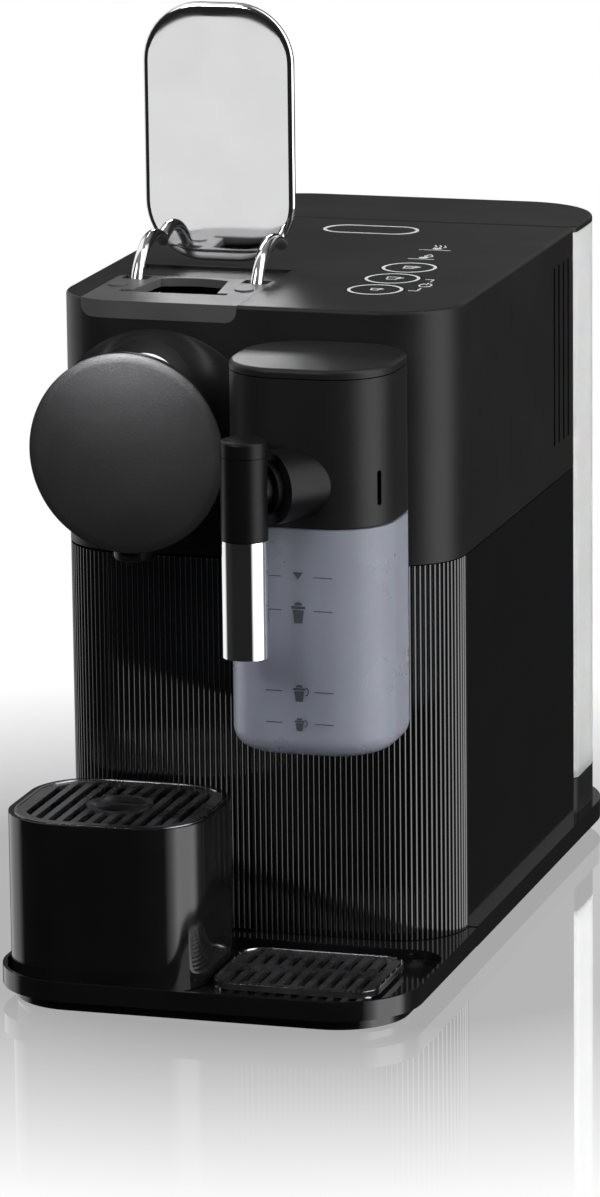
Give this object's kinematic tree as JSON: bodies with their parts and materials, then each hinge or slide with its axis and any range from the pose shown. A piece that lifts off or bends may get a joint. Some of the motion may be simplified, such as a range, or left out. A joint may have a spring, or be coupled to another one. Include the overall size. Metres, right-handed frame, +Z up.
{
  "type": "pod coffee machine",
  "caption": "Upright pod coffee machine with folding capsule lever, clip-on milk jug with spout, rear water tank, cup stand, drip tray and capsule drawer.",
  "frame": {"origin": "centre of the base plate's footprint, on the table", "axes": "+X to the right seen from the front, +Y to the rear, +Z up"},
  "size_m": [0.154, 0.324, 0.3384],
  "materials": {
    "satin_black": "satin moulded plastic",
    "gloss_black": "polished moulded plastic",
    "disc_satin": "fine satin metallic",
    "mirror_chrome": "mirror",
    "polished_grid": "dark polished",
    "smoky_plastic": "translucent",
    "frosted_white": "frosted translucent",
    "white_print": "printed",
    "button_black": "satin",
    "black_rubber": "matt",
    "inner_plastic": "matt",
    "steel": "brushed",
    "cast_aluminium": "cast",
    "pump_body": "painted",
    "circuit_board": "solder mask"
  },
  "bodies": {
    "machine": {"base_plate": "gloss_black", "rubber_feet": "black_rubber", "housing_screws": "steel", "lower_housing": "gloss_black", "upper_housing": "satin_black", "top_badge": "satin_black", "alert_lenses": "white_print", "slot_panel": "satin_black", "slot_bumpers": "black_rubber", "head_cowl": "satin_black", "head_stem": "satin_black", "head_disc": "disc_satin", "coffee_outlet": "satin_black", "extraction_plate": "steel", "brew_cradle": "steel", "lever_bearings": "satin_black", "control_board": "circuit_board", "button_switches": "inner_plastic", "steam_socket": "inner_plastic", "tank_seat": "inner_plastic", "tank_inlet_valve": "inner_plastic", "cord_gland": "black_rubber", "inner_shelf": "inner_plastic", "thermoblock": "cast_aluminium", "pump": "pump_body", "pump_bracket": "steel", "water_hoses": "inner_plastic"},
    "lever": {"lever_plate": "mirror_chrome", "lever_arm_left": "mirror_chrome", "lever_arm_right": "mirror_chrome", "lever_pins": "steel"},
    "brew_piston": {"brew_piston": "steel"},
    "small_cup_button": {"button_small_cup": "button_black", "button_ring_small_cup": "white_print"},
    "large_cup_button": {"button_large_cup": "button_black", "button_ring_large_cup": "white_print"},
    "milk_drink_button": {"button_milk_drink": "button_black", "button_ring_milk_drink": "white_print"},
    "milk_jug": {"milk_head": "satin_black", "milk_lid": "satin_black", "milk_head_seal": "black_rubber", "milk_nipple": "inner_plastic", "froth_mixer": "inner_plastic", "milk_pickup_tube": "inner_plastic", "spout_boss": "satin_black"},
    "milk_spout": {"spout_elbow": "satin_black", "spout_tube": "satin_black", "spout_cap": "satin_black"},
    "spout_sleeve": {"spout_sleeve": "mirror_chrome"},
    "milk_container": {"milk_container": "smoky_plastic"},
    "water_tank": {"water_tank": "frosted_white", "tank_valve": "inner_plastic"},
    "tank_lid": {"tank_lid": "satin_black"},
    "drawer": {"drip_tray": "gloss_black", "capsule_container": "inner_plastic", "container_front": "gloss_black"},
    "cup_stand": {"cup_stand": "gloss_black"},
    "stand_grid": {"stand_grid": "polished_grid"},
    "drip_grid": {"drip_grid": "polished_grid"}
  },
  "joints": [
    {"name": "lever_hinge", "type": "hinge", "parent": "machine", "child": "lever", "pos_m": [-0.0332, -0.0157, 0.2321], "axis": [1, 0, 0], "range_deg": [0, 90]},
    {"name": "brew_slide", "type": "slide", "parent": "machine", "child": "brew_piston", "axis": [0, -1, 0], "range_m": [0, 0.026]},
    {"name": "small_cup_press", "type": "slide", "parent": "machine", "child": "small_cup_button", "axis": [0, 0, -1], "range_m": [0, 0.001], "stiffness_N_per_m": 300, "springref_m": -0.0006},
    {"name": "large_cup_press", "type": "slide", "parent": "machine", "child": "large_cup_button", "axis": [0, 0, -1], "range_m": [0, 0.001], "stiffness_N_per_m": 300, "springref_m": -0.0006},
    {"name": "milk_drink_press", "type": "slide", "parent": "machine", "child": "milk_drink_button", "axis": [0, 0, -1], "range_m": [0, 0.001], "stiffness_N_per_m": 300, "springref_m": -0.0006},
    {"name": "jug_pull", "type": "slide", "parent": "machine", "child": "milk_jug", "axis": [0, -1, 0], "range_m": [0, 0.08]},
    {"name": "container_drop", "type": "slide", "parent": "milk_jug", "child": "milk_container", "axis": [0, 0, -1], "range_m": [0, 0.072]},
    {"name": "spout_swing", "type": "hinge", "parent": "milk_jug", "child": "milk_spout", "pos_m": [0.0311, -0.1377, 0.1906], "axis": [0.5606, 0.8281, 0], "range_deg": [0, 30]},
    {"name": "sleeve_extend", "type": "slide", "parent": "milk_spout", "child": "spout_sleeve", "axis": [0, 0, -1], "range_m": [0, 0.015]},
    {"name": "tank_lift", "type": "slide", "parent": "machine", "child": "water_tank", "axis": [0, 0, 1], "range_m": [0, 0.23]},
    {"name": "lid_lift", "type": "slide", "parent": "water_tank", "child": "tank_lid", "axis": [0, 0, 1], "range_m": [0, 0.03]},
    {"name": "drawer_pull", "type": "slide", "parent": "machine", "child": "drawer", "axis": [0, -1, 0], "range_m": [0, 0.105]},
    {"name": "stand_lift", "type": "slide", "parent": "drawer", "child": "cup_stand", "axis": [0, 0, 1], "range_m": [0, 0.04]},
    {"name": "stand_grid_lift", "type": "slide", "parent": "cup_stand", "child": "stand_grid", "axis": [0, 0, 1], "range_m": [0, 0.012]},
    {"name": "drip_grid_lift", "type": "slide", "parent": "drawer", "child": "drip_grid", "axis": [0, 0, 1], "range_m": [0, 0.006]}
  ],
  "couplings": [
    {"joint": "brew_slide", "follows": "lever_hinge", "m_per_rad": 0.0165}
  ]
}
